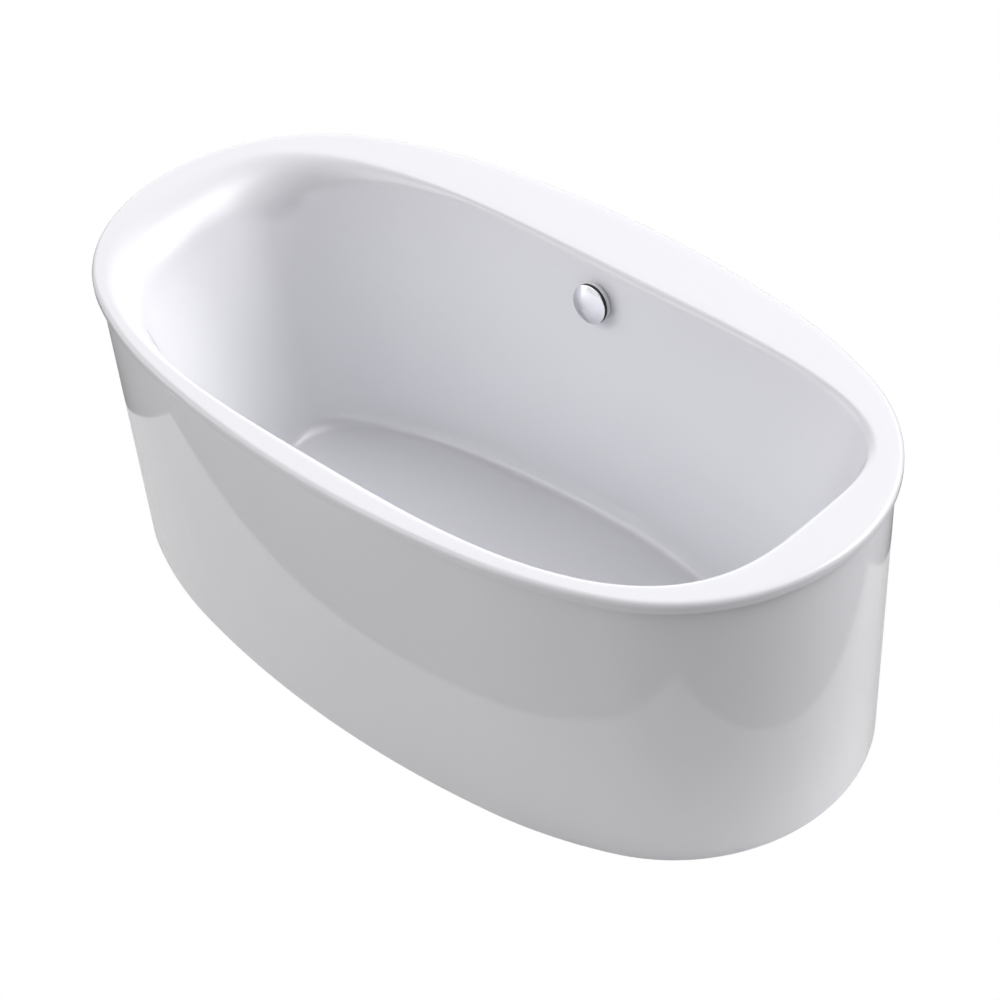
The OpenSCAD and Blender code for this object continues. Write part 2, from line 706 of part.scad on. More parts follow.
// ---- Overflow ----
gland_back = 30;
module overflow_body() {
    color(grey) difference() {
        union() {
            at_overflow() {
                translate([0, 0, body_face_z - 5]) cylinder(r = 36, h = 5);
                translate([0, 0, body_back_z]) cylinder(r = body_r, h = body_face_z - body_back_z - 1);
            }
            translate([waste_x, column_y, outlet_end_z])
                cylinder(r = socket_wall_r, h = column_z - outlet_end_z);
        }
        at_overflow() translate([0, 0, body_back_z + 4]) cylinder(r = 25.1, h = 60);
        translate([waste_x, column_y, outlet_end_z - 1])
            cylinder(r = pipe_r - pipe_t, h = column_z - outlet_end_z);
        translate([waste_x, column_y, outlet_end_z - 1]) cylinder(r = socket_r, h = socket_l + 1);
        at_overflow() translate([15, 0, -gland_back]) rotate([0, 90, 0])
            cylinder(r = 3, h = 20, $fn = 32);
    }
}

// A bevelled gasket between the sloping wall and a square face
module front_gasket() {
    color(black) at_overflow() intersection() {
        translate([0, 0, -10]) ring_solid(36, wall_hole_r + 0.2, seat_z + 10);
        rotate([-wall_slant, 0, 0]) translate([-60, -60, seal_gap]) cube([120, 120, 40]);
    }
}
module rear_gasket() {
    color(black) at_overflow() intersection() {
        translate([0, 0, body_face_z]) ring_solid(36, wall_hole_r + 0.2, 20);
        rotate([-wall_slant, 0, 0]) translate([-60, -60, -40 - wall_t - seal_gap]) cube([120, 120, 40]);
    }
}

// Threaded inlet ring that draws the body up to the wall, with arms round the spindle's bearing
module overflow_ring() {
    inner_r = 21;
    arm_z = -6;
    arm_h = 20;
    color(black) at_overflow() difference() {
        union() {
            translate([0, 0, seat_z]) cylinder(r = knob_r, h = ring_top_z - seat_z);
            translate([0, 0, -24]) cylinder(r = 25, h = seat_z + 25);
        }
        translate([0, 0, arm_z + arm_h]) cylinder(r = inner_r, h = 20);
        translate([0, 0, -25]) cylinder(r = inner_r, h = 25 + arm_z);
        difference() {
            translate([0, 0, arm_z - eps]) cylinder(r = inner_r, h = arm_h + 2 * eps);
            translate([0, 0, arm_z - 1]) cylinder(r = 9, h = arm_h + 2, $fn = 64);
            for (a = [45, 135]) rotate([0, 0, a]) translate([-26, -1.5, arm_z - 1]) cube([52, 3, arm_h + 2]);
        }
        translate([0, 0, arm_z - 2]) cylinder(r = spindle_r + run_gap, h = arm_h + 4, $fn = 64);
    }
}

knob_r = knob_d / 2;
knob_edge = 1.5;                  // height of the knob's straight edge under its dome
knob_skin = 2.5;
knob_hub_r = 9;
knob_socket = 5;                  // depth of the spindle's socket
dome_r = (pow(knob_r, 2) + pow(knob_dome, 2)) / (2 * knob_dome);
function dome_z(x) = knob_edge + knob_dome - dome_r + sqrt(pow(dome_r, 2) - pow(x, 2));
module overflow_knob() {
    steps = 12;
    inner_r = knob_r - 2;
    color(chrome) at_overflow() translate([0, 0, knob_rim_z]) difference() {
        rotate_extrude() polygon(concat(
            [for (k = [0 : steps]) let (x = knob_r * k / steps) [x, dome_z(x)]],
            [[knob_r, 0], [inner_r, 0]],
            [for (k = [steps : -1 : 0]) let (x = knob_hub_r + (inner_r - knob_hub_r) * k / steps)
                [x, dome_z(x) - knob_skin]],
            [[knob_hub_r, 0], [spindle_r + 0.02, 0], [spindle_r + 0.02, knob_socket], [0, knob_socket]]));
        translate([0, -5, 2.5]) rotate([90, 0, 0]) cylinder(r = 1.5, h = 6, $fn = 32);
    }
}
module knob_spindle() {
    color(steel) at_overflow() translate([0, 0, -44])
        cylinder(r = spindle_r, h = 44 + knob_rim_z + knob_socket - 0.1, $fn = 64);
}
module knob_grub_screw() {
    color(steel) at_overflow() translate([0, -5.1, knob_rim_z + 2.5]) rotate([90, 0, 0])
        cylinder(r = 1.45, h = 3.8, $fn = 32);
}

// Crank on the spindle's inner end that winds in the cable
module cable_crank() {
    color(steel) at_overflow() translate([0, 0, -44]) difference() {
        union() {
            cylinder(r = 9, h = 8, $fn = 64);
            translate([-3, 0, 0]) cube([6, 16, 8]);
            translate([0, 16, 0]) cylinder(r = 3, h = 8, $fn = 32);
        }
        translate([0, 0, -1]) cylinder(r = spindle_r + 0.02, h = 10, $fn = 64);
    }
}

// ---- Control cable: one smooth curve through points chosen by hand ----
cable_d = 5;
cable_start =
    [waste_x + 44, overflow_y + gland_back * cos(overflow_deg), overflow_z - gland_back * sin(overflow_deg)];
cable_end = [drain.x + 44, drain.y, gland_z];
cable_route = [
    cable_start - [10, 0, 0], cable_start, [90, 321, 539], [110, 325, 529], [123, 331, 508], [128, 338, 478],
    [126, 346, 430], [120, 354, 365], [112, 360, 290], [104, 362, 215], [98, 360, 152], [96, 352, 106],
    [96, 334, 76], [96, 304, 60], [96, 260, 52], [98, 192, 50], [102, 124, 50], [106, 66, 50],
    [110, 18, 51], [110, -14, 53], [99, -38, 55], cable_end, cable_end - [10, 0, 0]
];
cable_steps = 3;                  // rings between two points of the route
cable_sides = 8;
function curve_pt(p, k, s) =
    0.5 * (2 * p[k] + (p[k + 1] - p[k - 1]) * s
        + (2 * p[k - 1] - 5 * p[k] + 4 * p[k + 1] - p[k + 2]) * s * s
        + (3 * p[k] - p[k - 1] - 3 * p[k + 1] + p[k + 2]) * s * s * s);
module control_cable() {
    last = len(cable_route) - 3;
    path = concat(
        [for (k = [1 : last], j = [0 : cable_steps - 1]) curve_pt(cable_route, k, j / cable_steps)],
        [cable_route[last + 1]]);
    n = len(path);
    rings = [for (i = [0 : n - 1])
        let (d = path[min(i + 1, n - 1)] - path[max(i - 1, 0)], f = d / norm(d),
             side = abs(f.z) > 0.9 ? [1, 0, 0] : cross(f, [0, 0, 1]),
             u = (side - f * (side * f)) / norm(side - f * (side * f)), v = cross(f, u))
        [for (j = [0 : cable_sides - 1]) let (a = 360 * j / cable_sides)
            path[i] + cable_d / 2 * (u * cos(a) + v * sin(a))]];
    m = cable_sides;
    sides = [for (i = [0 : n - 2], j = [0 : m - 1]) let (k = (j + 1) % m)
        each [[i * m + j, i * m + k, (i + 1) * m + k], [i * m + j, (i + 1) * m + k, (i + 1) * m + j]]];
    color(black) polyhedron(
        points = [for (r = rings) each r],
        faces = concat(sides, [[for (j = [m - 1 : -1 : 0]) j], [for (j = [0 : m - 1]) (n - 1) * m + j]]),
        convexity = 10);
}
// Glands at the cable's two ends, each seated on a round housing
module gland(seat_r) {
    difference() {
        rotate([0, 90, 0]) cylinder(r = 6, h = 44, $fn = 48);
        translate([0, 0, -10]) cylinder(r = seat_r + 0.02, h = 20);
    }
}
module cable_glands() {
    color(black) {
        at_overflow() translate([0, 0, -gland_back]) gland(body_r);
        translate([drain.x, drain.y, gland_z]) gland(shoe_r);
    }
}

basin_shell();
backing_shell();
skirt();
skirt_stiffener();
rim_bead();
base_board();
rail(-1);  // rail_near
rail(1);  // rail_far
cross_member(0);  // cross_head
cross_member(1);  // cross_mid
cross_member(2);  // cross_foot
tube_plugs();
board_screws();
weld_nuts();
jam_nuts();
for (k = [0 : len(feet) - 1]) foot_pad(k);
for (k = [0 : len(feet) - 1]) foot_stud(k);
skirt_brackets();
bracket_screws();
drain_flange();
drain_gasket();
shoe_gasket();
drain_shoe();
stopper_cap();
stopper_seal();
stopper_stem();
lift_rocker();
rocker_pin();
drain_pipe();
waste_tee();
tailpiece();
overflow_pipe();
slip_nuts();
slip_washers();
overflow_body();
rear_gasket();
front_gasket();
overflow_ring();
overflow_knob();
knob_spindle();
knob_grub_screw();
cable_crank();
control_cable();
cable_glands();
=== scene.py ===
"""The looks of the freestanding bath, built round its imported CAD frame. Metres, +Z up, in the CAD's own frame."""
import json
import math

import bmesh
import bpy
import numpy as np
from mathutils import Matrix, Vector


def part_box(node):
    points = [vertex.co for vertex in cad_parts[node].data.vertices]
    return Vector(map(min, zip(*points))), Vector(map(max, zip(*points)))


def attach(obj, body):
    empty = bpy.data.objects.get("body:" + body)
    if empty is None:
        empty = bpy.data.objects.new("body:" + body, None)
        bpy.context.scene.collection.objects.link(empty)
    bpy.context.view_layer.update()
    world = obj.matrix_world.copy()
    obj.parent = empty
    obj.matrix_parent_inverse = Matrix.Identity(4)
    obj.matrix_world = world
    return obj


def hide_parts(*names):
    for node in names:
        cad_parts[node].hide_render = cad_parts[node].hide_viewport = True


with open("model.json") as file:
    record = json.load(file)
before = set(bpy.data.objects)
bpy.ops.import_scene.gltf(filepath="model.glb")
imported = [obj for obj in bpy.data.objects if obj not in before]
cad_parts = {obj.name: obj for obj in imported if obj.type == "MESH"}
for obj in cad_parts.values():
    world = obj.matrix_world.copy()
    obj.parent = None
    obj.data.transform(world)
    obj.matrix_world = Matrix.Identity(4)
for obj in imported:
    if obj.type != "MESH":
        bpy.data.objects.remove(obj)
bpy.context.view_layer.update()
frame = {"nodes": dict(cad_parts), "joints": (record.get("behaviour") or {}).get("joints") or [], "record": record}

MM = 0.001
ROOT = "bath"
nodes = frame["nodes"]
joints = {joint["name"]: joint for joint in frame["joints"]}

# ---- Driving sizes, read from the frame where it has them ----
basin_low, basin_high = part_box("basin_shell")
skirt_low, skirt_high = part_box("skirt")
rim_half_l = basin_high.x
rim_half_w = basin_high.y
rim_z = basin_high.z
drain_low, drain_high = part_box("drain_flange")
drain_xy = ((drain_low.x + drain_high.x) / 2, (drain_low.y + drain_high.y) / 2)

end_r = 0.380          # arc round each end
end_turn = math.radians(65)
corner_turn = math.radians(80)
lip_h = 0.020
lip_r = 0.009          # upper edge of the lip
lip_foot_r = 0.0015    # small radius on the lip's lower edges
acrylic_t = 0.004
open_half_l, open_x = 0.761, -0.009
open_far, open_near = 0.315, 0.410
head_power, foot_power, near_power = 3.0, 4.2, 2.9
floor_half_l, floor_x = 0.526, 0.044
floor_far, floor_near = 0.192, 0.284
floor_head_reach = 0.016
floor_head_power, floor_foot_power = 2.4, 2.9
floor_z = 0.102
hub_z = 0.100
hub_r = 0.060
roll_r = 0.018
head_roll_r = 0.100
roll_grows = (0.35, 0.95)     # shares of the way to the head end where the roll starts and stops growing
fillet_r = 0.044
skirt_in_top, skirt_in_base, skirt_t = 0.010, 0.015, 0.005
waste_hole_r = 0.024
wall_hole_r = 0.026

AROUND = 960           # points round the oval in the fine meshes


# ---- The oval outline: arcs that meet tangentially ----
def outline_arcs():
    c1, s1 = math.cos(end_turn), math.sin(end_turn)
    c2, s2 = math.cos(corner_turn), math.sin(corner_turn)
    det = (c1 - c2) * (1 - s2) - c2 * (s2 - s1)
    x = rim_half_l - end_r * (1 - c1)
    y = rim_half_w - end_r * s1
    corner_r = (x * (1 - s2) - c2 * y) / det
    side_r = ((c1 - c2) * y - (s2 - s1) * x) / det
    end_c = np.array([rim_half_l - end_r, 0.0])
    corner_c = end_c + (end_r - corner_r) * np.array([c1, s1])
    side_c = corner_c + (corner_r - side_r) * np.array([c2, s2])
    return (end_c, end_r, end_turn), (corner_c, corner_r, corner_turn), (side_c, side_r, math.pi / 2)


ARCS = outline_arcs()


def even_turns(count):
    """Normal angles of points spaced evenly round the whole outline, and each one's arc."""
    quarter = count // 4
    lengths, start = [], 0.0
    for _, radius, end in ARCS:
        lengths.append(radius * (end - start))
        start = end
    bounds = np.concatenate([[0], np.cumsum(lengths)])
    s = np.linspace(0, bounds[-1], quarter + 1)
    turn = np.zeros_like(s)
    start = 0.0
    for k, (_, radius, end) in enumerate(ARCS):
        inside = (s >= bounds[k] - 1e-12) & (s <= bounds[k + 1] + 1e-12)
        turn[inside] = start + (s[inside] - bounds[k]) / radius
        start = end
    return turn


QUARTER = even_turns(AROUND)


def quadrant(inset):
    c, s = np.cos(QUARTER), np.sin(QUARTER)
    x, y = np.zeros_like(c), np.zeros_like(c)
    start = -1.0
    for centre, radius, end in ARCS:
        inside = (QUARTER > start) & (QUARTER <= end + 1e-12)
        x[inside] = centre[0] + (radius - inset) * c[inside]
        y[inside] = centre[1] + (radius - inset) * s[inside]
        start = end
    return x, y


def rim_ring(inset, z):
    x, y = quadrant(inset)
    ring_x = np.concatenate([x[:-1], -x[:0:-1], -x[:-1], x[:0:-1]])
    ring_y = np.concatenate([y[:-1], y[:0:-1], -y[:-1], -y[:0:-1]])
    return np.column_stack([ring_x, ring_y, np.full(len(ring_x), z)])


# ---- The basin: superellipses joined by a roll, a straight wall and a fillet ----
outline = rim_ring(0, 0)
TURN = np.arctan2(outline[:, 1] / rim_half_w, outline[:, 0] / rim_half_l)


def oval(a, b, power):
    c, s = np.cos(TURN), np.sin(TURN)
    k = (np.abs(c) ** power + np.abs(s) ** power) ** (-1 / power)
    return np.column_stack([a * c * k, b * s * k])


def on_sides(far, near):
    return np.where(np.sin(TURN) > 0, far, near)


OPENING = oval(open_half_l, on_sides(open_far, open_near),
               on_sides(np.where(np.cos(TURN) > 0, foot_power, head_power), near_power)) + [open_x, 0]
AT_HEAD = np.cos(TURN) < 0
FLOOR = oval(floor_half_l + AT_HEAD * floor_head_reach, on_sides(floor_far, floor_near),
             np.where(AT_HEAD, floor_head_power, floor_foot_power)) + [floor_x, 0]
INWARD = FLOOR - OPENING
REACH = np.hypot(INWARD[:, 0], INWARD[:, 1])
GROWN = np.clip((-np.cos(TURN) - roll_grows[0]) / (roll_grows[1] - roll_grows[0]), 0, 1)
ROLL = roll_r + (head_roll_r - roll_r) * GROWN ** 2 * (3 - 2 * GROWN)
DROP = rim_z - floor_z - ROLL - fillet_r
WALL = np.arccos((ROLL + fillet_r) / np.hypot(REACH, DROP)) - np.arctan2(DROP, REACH)
ARC = math.pi / 2 - WALL


def wall_ring(u, z):
    xy = OPENING + INWARD * (u / REACH)[:, None]
    return np.column_stack([xy, z])


def roll_ring(share, off):
    return wall_ring((ROLL - off) * np.sin(ARC * share), rim_z - ROLL + (ROLL - off) * np.cos(ARC * share))


def fillet_ring(share, off):
    r = fillet_r + off
    return wall_ring(REACH - r * np.sin(ARC * share), floor_z + fillet_r - r * np.cos(ARC * share))


def between(ring_a, ring_b, count):
    """count rings strictly between two rings."""
    return [ring_a + (ring_b - ring_a) * k / (count + 1) for k in range(1, count + 1)]


def hub_ring(z):
    return np.column_stack([drain_xy[0] + hub_r * np.cos(TURN), drain_xy[1] + hub_r * np.sin(TURN),
                            np.full(len(TURN), z)])


def bowl(off):
    """Rings from the level hub round the waste, over the floor, up the wall and over the roll."""
    hub = hub_ring(hub_z - off)
    fillet = [fillet_ring(k / 12, off) for k in range(13)]
    roll = [roll_ring(k / 14, off) for k in range(14, -1, -1)]
    return [hub, *between(hub, fillet[0], 8), *fillet, *between(fillet[-1], roll[0], 16), *roll]


# ---- Mesh helpers ----
def mesh_object(name, points, faces, material, smooth_deg=35):
    mesh = bpy.data.meshes.new(name)
    mesh.from_pydata([tuple(p) for p in points], [], faces)
    mesh.validate()
    mesh.update()
    piece = bpy.data.objects.new(name, mesh)
    bpy.context.scene.collection.objects.link(piece)
    mesh.materials.append(material)
    shade(piece, smooth_deg)
    return piece


def shade(piece, smooth_deg):
    """Smooth shading, with sharp edges where faces meet at more than smooth_deg."""
    mesh = piece.data
    mesh.shade_smooth()
    mesh.set_sharp_from_angle(angle=math.radians(smooth_deg))


def loft(name, rings, material, closed=False, smooth_deg=35):
    """A skin through rings of equal length. closed joins the last ring to the first; otherwise the ends are filled."""
    n, m = len(rings[0]), len(rings)
    points = np.concatenate(rings)
    faces = []
    for k in range(m if closed else m - 1):
        a, b = k * n, (k + 1) % m * n
        faces += [(a + i, b + i, b + (i + 1) % n, a + (i + 1) % n) for i in range(n)]
    if not closed:
        faces.append(tuple(range(n)))
        faces.append(tuple(range(m * n - 1, (m - 1) * n - 1, -1)))
    return mesh_object(name, points, faces, material, smooth_deg)


def rounded(corners, radius, steps=6):
    """A closed profile with each corner turned into an arc. A corner is (x, z) or (x, z, its own radius)."""
    out = []
    n = len(corners)
    for k in range(n):
        p = np.array(corners[k][:2])
        r = corners[k][2] if len(corners[k]) > 2 else radius
        a = np.array(corners[k - 1][:2]) - p
        b = np.array(corners[(k + 1) % n][:2]) - p
        a, b = a / np.linalg.norm(a), b / np.linalg.norm(b)
        half = math.acos(max(-1.0, min(1.0, float(a @ b)))) / 2
        if r <= 0 or half > math.radians(89):
            out.append(p)
            continue
        back = r / math.tan(half)
        centre = p + (a + b) / np.linalg.norm(a + b) * r / math.sin(half)
        start, end = p + a * back - centre, p + b * back - centre
        a0 = math.atan2(start[1], start[0])
        turn = (math.atan2(end[1], end[0]) - a0 + math.pi) % (2 * math.pi) - math.pi
        out += [centre + r * np.array([math.cos(a0 + turn * j / steps), math.sin(a0 + turn * j / steps)])
                for j in range(steps + 1)]
    return out


def lathe(name, profile, material, place=Matrix.Identity(4), segments=192, smooth_deg=35):
    """Turns a closed profile of (radius, z) round Z. Points on the axis close to one vertex."""
    rings = []
    for r, z in profile:
        a = np.arange(segments) * 2 * math.pi / segments
        rings.append(np.column_stack([max(r, 0) * np.cos(a), max(r, 0) * np.sin(a), np.full(segments, z)]))
    piece = loft(name, rings, material, closed=True, smooth_deg=smooth_deg)
    weld(piece)
    piece.data.transform(place)
    shade(piece, smooth_deg)
    return piece


def weld(piece, distance=1e-6):
    """Joins vertices that lie on each other and drops faces that shrank to nothing."""
    bm = bmesh.new()
    bm.from_mesh(piece.data)
    bmesh.ops.remove_doubles(bm, verts=bm.verts, dist=distance)
    bmesh.ops.dissolve_degenerate(bm, edges=bm.edges, dist=distance)
    bmesh.ops.recalc_face_normals(bm, faces=bm.faces)
    bm.to_mesh(piece.data)
    bm.free()


def bore(piece, radius, depth, place):
    """Cuts a round hole through a piece, along local Z of place."""
    cutter = lathe("cutter", [(0, -depth), (radius, -depth), (radius, depth), (0, depth)],
                   piece.data.materials[0], place, 128)
    cut = piece.modifiers.new("hole", "BOOLEAN")
    cut.operation = "DIFFERENCE"
    cut.solver = "EXACT"
    cut.object = cutter
    dg = bpy.context.evaluated_depsgraph_get()
    mesh = bpy.data.meshes.new_from_object(piece.evaluated_get(dg))
    piece.modifiers.clear()
    piece.data = mesh
    bpy.data.objects.remove(cutter)


# ---- Materials ----
class Nodes:
    """A short way to build one material's node tree."""

    def __init__(self, name, color, roughness, metallic=0.0, ior=1.5):
        self.material = bpy.data.materials.new(name)
        self.material.use_nodes = True
        self.tree = self.material.node_tree
        self.bsdf = self.tree.nodes["Principled BSDF"]
        self.color = (*color, 1.0)
        self.bsdf.inputs["Base Color"].default_value = self.color
        self.bsdf.inputs["Roughness"].default_value = roughness
        self.bsdf.inputs["Metallic"].default_value = metallic
        self.bsdf.inputs["IOR"].default_value = ior
        self.roughness = roughness
        self.where = self.add("ShaderNodeTexCoord").outputs["Object"]

    def add(self, kind, **settings):
        node = self.tree.nodes.new(kind)
        for key, value in settings.items():
            if key in node.inputs:
                node.inputs[key].default_value = value
            else:
                setattr(node, key, value)
        return node

    def link(self, output, target):
        self.tree.links.new(output, target)

    def stretched(self, x, y, z):
        """The object's coordinates, scaled, for grain that runs one way."""
        mapping = self.add("ShaderNodeMapping")
        mapping.inputs["Scale"].default_value = (x, y, z)
        self.link(self.where, mapping.inputs["Vector"])
        return mapping.outputs["Vector"]

    def noise(self, scale, detail=3.0, rough=0.5, vector=None):
        node = self.add("ShaderNodeTexNoise", Scale=scale, Detail=detail, Roughness=rough)
        self.link(vector or self.where, node.inputs["Vector"])
        return node.outputs["Fac"]

    def cells(self, scale, vector=None, feature="F1"):
        node = self.add("ShaderNodeTexVoronoi", Scale=scale, feature=feature)
        self.link(vector or self.where, node.inputs["Vector"])
        return node.outputs["Distance"]

    def spread(self, value, low, high):
        node = self.add("ShaderNodeMapRange")
        node.inputs["To Min"].default_value = low
        node.inputs["To Max"].default_value = high
        self.link(value, node.inputs["Value"])
        return node.outputs["Result"]

    def tones(self, value, *stops):
        """Base colour from a value, through (position, brightness) stops of the material's own colour."""
        ramp = self.add("ShaderNodeValToRGB")
        elements = ramp.color_ramp.elements
        while len(elements) < len(stops):
            elements.new(0.5)
        for element, (position, tone) in zip(elements, stops):
            element.position = position
            element.color = (*(min(1.0, c * tone) for c in self.color[:3]), 1.0)
        self.link(value, ramp.inputs["Fac"])
        self.link(ramp.outputs["Color"], self.bsdf.inputs["Base Color"])

    def rough(self, value, low, high):
        self.link(self.spread(value, low, high), self.bsdf.inputs["Roughness"])

    def bump(self, *layers):
        """Bump layers of (height, distance in metres, strength), laid on one another."""
        normal = None
        for height, distance, strength in layers:
            node = self.add("ShaderNodeBump", Strength=strength, Distance=distance)
            self.link(height, node.inputs["Height"])
            if normal:
                self.link(normal, node.inputs["Normal"])
            normal = node.outputs["Normal"]
        self.link(normal, self.bsdf.inputs["Normal"])


def acrylic():
    n = Nodes("acrylic", ACRYLIC_WHITE, 0.07, ior=1.49)
    n.bsdf.inputs["Coat Weight"].default_value = 0.4
    n.bsdf.inputs["Coat Roughness"].default_value = 0.02
    cloud = n.noise(3.0, 2.0)
    n.tones(cloud, (0.25, 0.992), (0.75, 1.0))
    n.rough(n.noise(14.0, 4.0), 0.055, 0.085)
    n.bump((n.noise(60.0, 2.0), 0.00004, 0.25), (n.noise(900.0, 2.0), 0.000004, 0.3))
    return n.material


def fibreglass():
    n = Nodes("fibreglass", (0.60, 0.56, 0.42), 0.55)
    strands = n.cells(160.0, n.stretched(1.0, 0.25, 1.0))
    crossing = n.cells(150.0, n.stretched(0.25, 1.0, 0.6))
    n.tones(strands, (0.0, 1.15), (0.35, 0.95), (0.9, 0.8))
    n.rough(crossing, 0.4, 0.75)
    n.bump((n.noise(18.0, 5.0), 0.003, 0.6), (strands, 0.0012, 0.8), (crossing, 0.0010, 0.7))
    return n.material


def powder_coat():
    n = Nodes("powder_coat", (0.17, 0.18, 0.20), 0.45)
    peel = n.noise(420.0, 3.0)
    n.tones(n.noise(9.0, 4.0), (0.3, 0.9), (0.7, 1.08))
    n.rough(peel, 0.38, 0.55)
    n.bump((peel, 0.00012, 0.6), (n.noise(1600.0, 2.0), 0.00004, 0.5))
    return n.material


def plywood():
    n = Nodes("plywood", (0.52, 0.36, 0.19), 0.6)
    grain = n.noise(26.0, 6.0, 0.62, n.stretched(0.35, 6.0, 6.0))
    plies = n.add("ShaderNodeTexWave", Scale=105.0, Distortion=0.15)
    plies.bands_direction = "Z"
    n.link(n.where, plies.inputs["Vector"])
    n.tones(grain, (0.28, 0.68), (0.5, 1.0), (0.74, 1.18))
    n.rough(grain, 0.5, 0.72)
    n.bump((grain, 0.0005, 0.6), (plies.outputs["Fac"], 0.0002, 0.35))
    return n.material


def sealant():
    n = Nodes("sealant", (0.80, 0.80, 0.79), 0.35)
    n.tones(n.noise(40.0, 3.0), (0.3, 0.96), (0.7, 1.0))
    n.rough(n.noise(90.0, 3.0), 0.3, 0.45)
    n.bump((n.noise(120.0, 3.0), 0.0004, 0.4),)
    return n.material


def moulded(name, color, rough_low, rough_high, grain=900.0):
    """Moulded plastic: a fine spark-eroded texture, faint flow lines and slightly uneven gloss."""
    n = Nodes(name, color, (rough_low + rough_high) / 2)
    flow = n.noise(12.0, 4.0, 0.5, n.stretched(1.0, 1.0, 3.0))
    spark = n.noise(grain, 2.0)
    n.tones(flow, (0.3, 0.9), (0.7, 1.1))
    n.rough(spark, rough_low, rough_high)
    n.bump((spark, 0.00006, 0.7), (flow, 0.0001, 0.2))
    return n.material


def rubber():
    n = Nodes("black_rubber", (0.022, 0.022, 0.024), 0.75)
    bloom = n.noise(30.0, 4.0)
    n.tones(bloom, (0.3, 0.8), (0.75, 1.7))
    n.rough(bloom, 0.65, 0.85)
    n.bump((n.noise(700.0, 3.0), 0.0001, 0.6),)
    return n.material


def zinc():
    n = Nodes("zinc_steel", (0.58, 0.59, 0.61), 0.3, metallic=1.0)
    n.bsdf.inputs["Anisotropic"].default_value = 0.3
    spangle = n.cells(220.0)
    draw = n.noise(60.0, 4.0, 0.5, n.stretched(9.0, 9.0, 1.0))
    n.tones(spangle, (0.1, 0.86), (0.6, 1.08))
    n.rough(draw, 0.22, 0.42)
    n.bump((draw, 0.00006, 0.4),)
    return n.material


def chrome():
    n = Nodes("chrome", (0.80, 0.81, 0.83), 0.05, metallic=1.0)
    haze = n.noise(45.0, 4.0)
    n.tones(haze, (0.3, 0.98), (0.7, 1.0))
    n.rough(haze, 0.035, 0.075)
    n.bump((n.noise(140.0, 2.0), 0.000006, 0.4),)
    return n.material


ACRYLIC_WHITE = (0.83, 0.83, 0.865)
MATERIALS = {
    "acrylic": acrylic(),
    "fibreglass": fibreglass(),
    "frame_steel": powder_coat(),
    "board": plywood(),
    "sealant": sealant(),
    "black_plastic": moulded("black_plastic", (0.018, 0.018, 0.020), 0.35, 0.5),
    "grey_plastic": moulded("grey_plastic", (0.22, 0.23, 0.25), 0.3, 0.42, 700.0),
    "white_plastic": moulded("white_plastic", (0.72, 0.72, 0.70), 0.38, 0.5, 600.0),
    "black_rubber": rubber(),
    "zinc_steel": zinc(),
    "chrome": chrome(),
}


def place_piece(piece, body, slot, *stands_for):
    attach(piece, body)
    if stands_for:
        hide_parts(*stands_for)
    return piece


# ---- Carried-over CAD nodes ----
for part in frame["record"]["subparts"]:
    node = nodes[part["node"]]
    slot_name = part["material_slot"]
    node.data.materials.clear()
    node.data.materials.append(MATERIALS[slot_name])


# ---- Basin ----
def make_basin():
    lip = rounded([(0, rim_z, lip_r), (0, rim_z - lip_h, lip_foot_r),
                   (acrylic_t, rim_z - lip_h, lip_foot_r), (acrylic_t, rim_z - acrylic_t, 0.004),
                   (0.3, rim_z - acrylic_t, 0), (0.3, rim_z, 0)], 0, 8)
    lip = [p for p in lip if p[0] < 0.29]
    deck_edge = rim_ring(lip[0][0], rim_z)
    top = bowl(0)
    under = bowl(acrylic_t)
    under_edge = rim_ring(lip[-1][0], rim_z - acrylic_t)
    rings = [*top, *between(top[-1], deck_edge, 6)]
    rings += [rim_ring(inset, z) for inset, z in lip]
    rings += [*between(under_edge, under[-1], 4), *reversed(under)]
    piece = loft("basin", rings, MATERIALS["acrylic"])
    bore(piece, waste_hole_r, 0.02, Matrix.Translation((*drain_xy, hub_z)))
    bore(piece, wall_hole_r, 0.03, overflow_place)
    shade(piece, 30)
    return piece


def joint_frame(name):
    """A frame at a hinge's point, with Z along its axis and X level."""
    joint = joints[name]
    z = Vector(joint["axis"]).normalized()
    x = Vector((1, 0, 0))
    y = z.cross(x)
    turn = Matrix((x, y, z)).transposed().to_4x4()
    return Matrix.Translation(joint["pos_m"]) @ turn


overflow_place = joint_frame("overflow_knob_turn")
basin = place_piece(make_basin(), ROOT, "acrylic", "basin_shell")


# ---- Skirt ----
def make_skirt():
    top, low = skirt_high.z, skirt_low.z

    def inset(z):
        return skirt_in_top + (skirt_in_base - skirt_in_top) * (top - z) / top
    section = rounded([(inset(top), top), (inset(low), low), (inset(low) + skirt_t, low),
                       (inset(top) + skirt_t, top)], 0.0018, 5)
    return loft("skirt_panel", [rim_ring(i, z) for i, z in section], MATERIALS["acrylic"], closed=True)


skirt = place_piece(make_skirt(), ROOT, "acrylic", "skirt")


# ---- Overflow fittings that show beside the knob ----
def white_with_painted_shade(name, node, place, depth):
    """A white moulding painted black past this depth along the place's axis: painted shade where the knob cap's shadow
    falls.
    """
    n = Nodes(name, (0.86, 0.86, 0.88), 0.44)
    along = (place.inverted() @ node.matrix_world).row[2]
    dot = n.add("ShaderNodeVectorMath", operation="DOT_PRODUCT")
    dot.inputs[1].default_value = along[:3]
    n.link(n.where, dot.inputs[0])
    step = n.add("ShaderNodeMapRange")
    step.inputs["From Min"].default_value = depth - 0.0002 - along[3]
    step.inputs["From Max"].default_value = depth + 0.0002 - along[3]
    n.link(dot.outputs["Value"], step.inputs["Value"])
    n.tones(step.outputs["Result"], (0.0, 1.0), (1.0, 0.03))
    n.rough(n.noise(600.0, 2.0), 0.38, 0.5)
    n.bump((n.noise(600.0, 2.0), 0.00006, 0.7))
    return n.material
